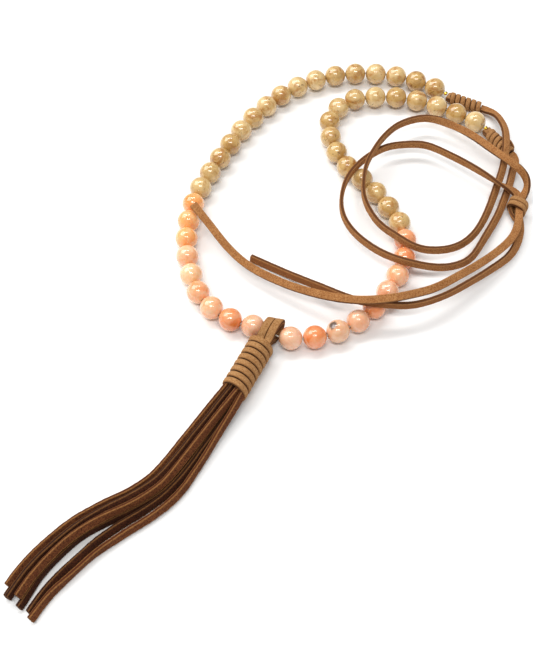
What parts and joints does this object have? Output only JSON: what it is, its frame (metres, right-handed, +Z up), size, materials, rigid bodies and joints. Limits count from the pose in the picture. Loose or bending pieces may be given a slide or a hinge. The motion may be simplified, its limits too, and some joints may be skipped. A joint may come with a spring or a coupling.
{
  "type": "bead necklace",
  "caption": "Stone bead necklace with a wound suede tassel, tied at the back by two flat suede laces and a sliding knot.",
  "frame": {"origin": "centre of the bounding box of the beads, end wraps and tassel, on the table", "axes": "+Z up from the table, +Y from the tassel towards the sliding knot, +X to the right as seen in the picture"},
  "size_m": [0.1725, 0.2268, 0.0135],
  "materials": {
    "thread": "matte",
    "stone_tan": "polished stone",
    "stone_peach": "polished stone",
    "gold": "polished",
    "suede_tan": "matte nap",
    "suede_brown": "matte nap"
  },
  "bodies": {
    "root": {"beading_thread": "thread", "tan_beads_left": "stone_tan", "tan_beads_right": "stone_tan", "peach_bead_left_1": "stone_peach", "peach_bead_left_2": "stone_peach", "peach_bead_left_3": "stone_peach", "peach_bead_left_4": "stone_peach", "peach_bead_left_5": "stone_peach", "peach_bead_left_6": "stone_peach", "peach_bead_left_7": "stone_peach", "peach_bead_left_8": "stone_peach", "peach_bead_left_9": "stone_peach", "peach_bead_right_1": "stone_peach", "peach_bead_right_2": "stone_peach", "peach_bead_right_3": "stone_peach", "peach_bead_right_4": "stone_peach", "peach_bead_right_5": "stone_peach", "peach_bead_right_6": "stone_peach", "peach_bead_right_7": "stone_peach", "peach_bead_right_8": "stone_peach", "peach_bead_right_9": "stone_peach", "crimp_left": "gold", "crimp_right": "gold", "end_wrap_left": "suede_tan", "end_wrap_right": "suede_tan", "lace_left": "suede_tan", "lace_right": "suede_tan", "sliding_knot": "suede_tan", "tassel": "suede_brown", "tassel_wrap": "suede_tan"}
  },
  "joints": []
}
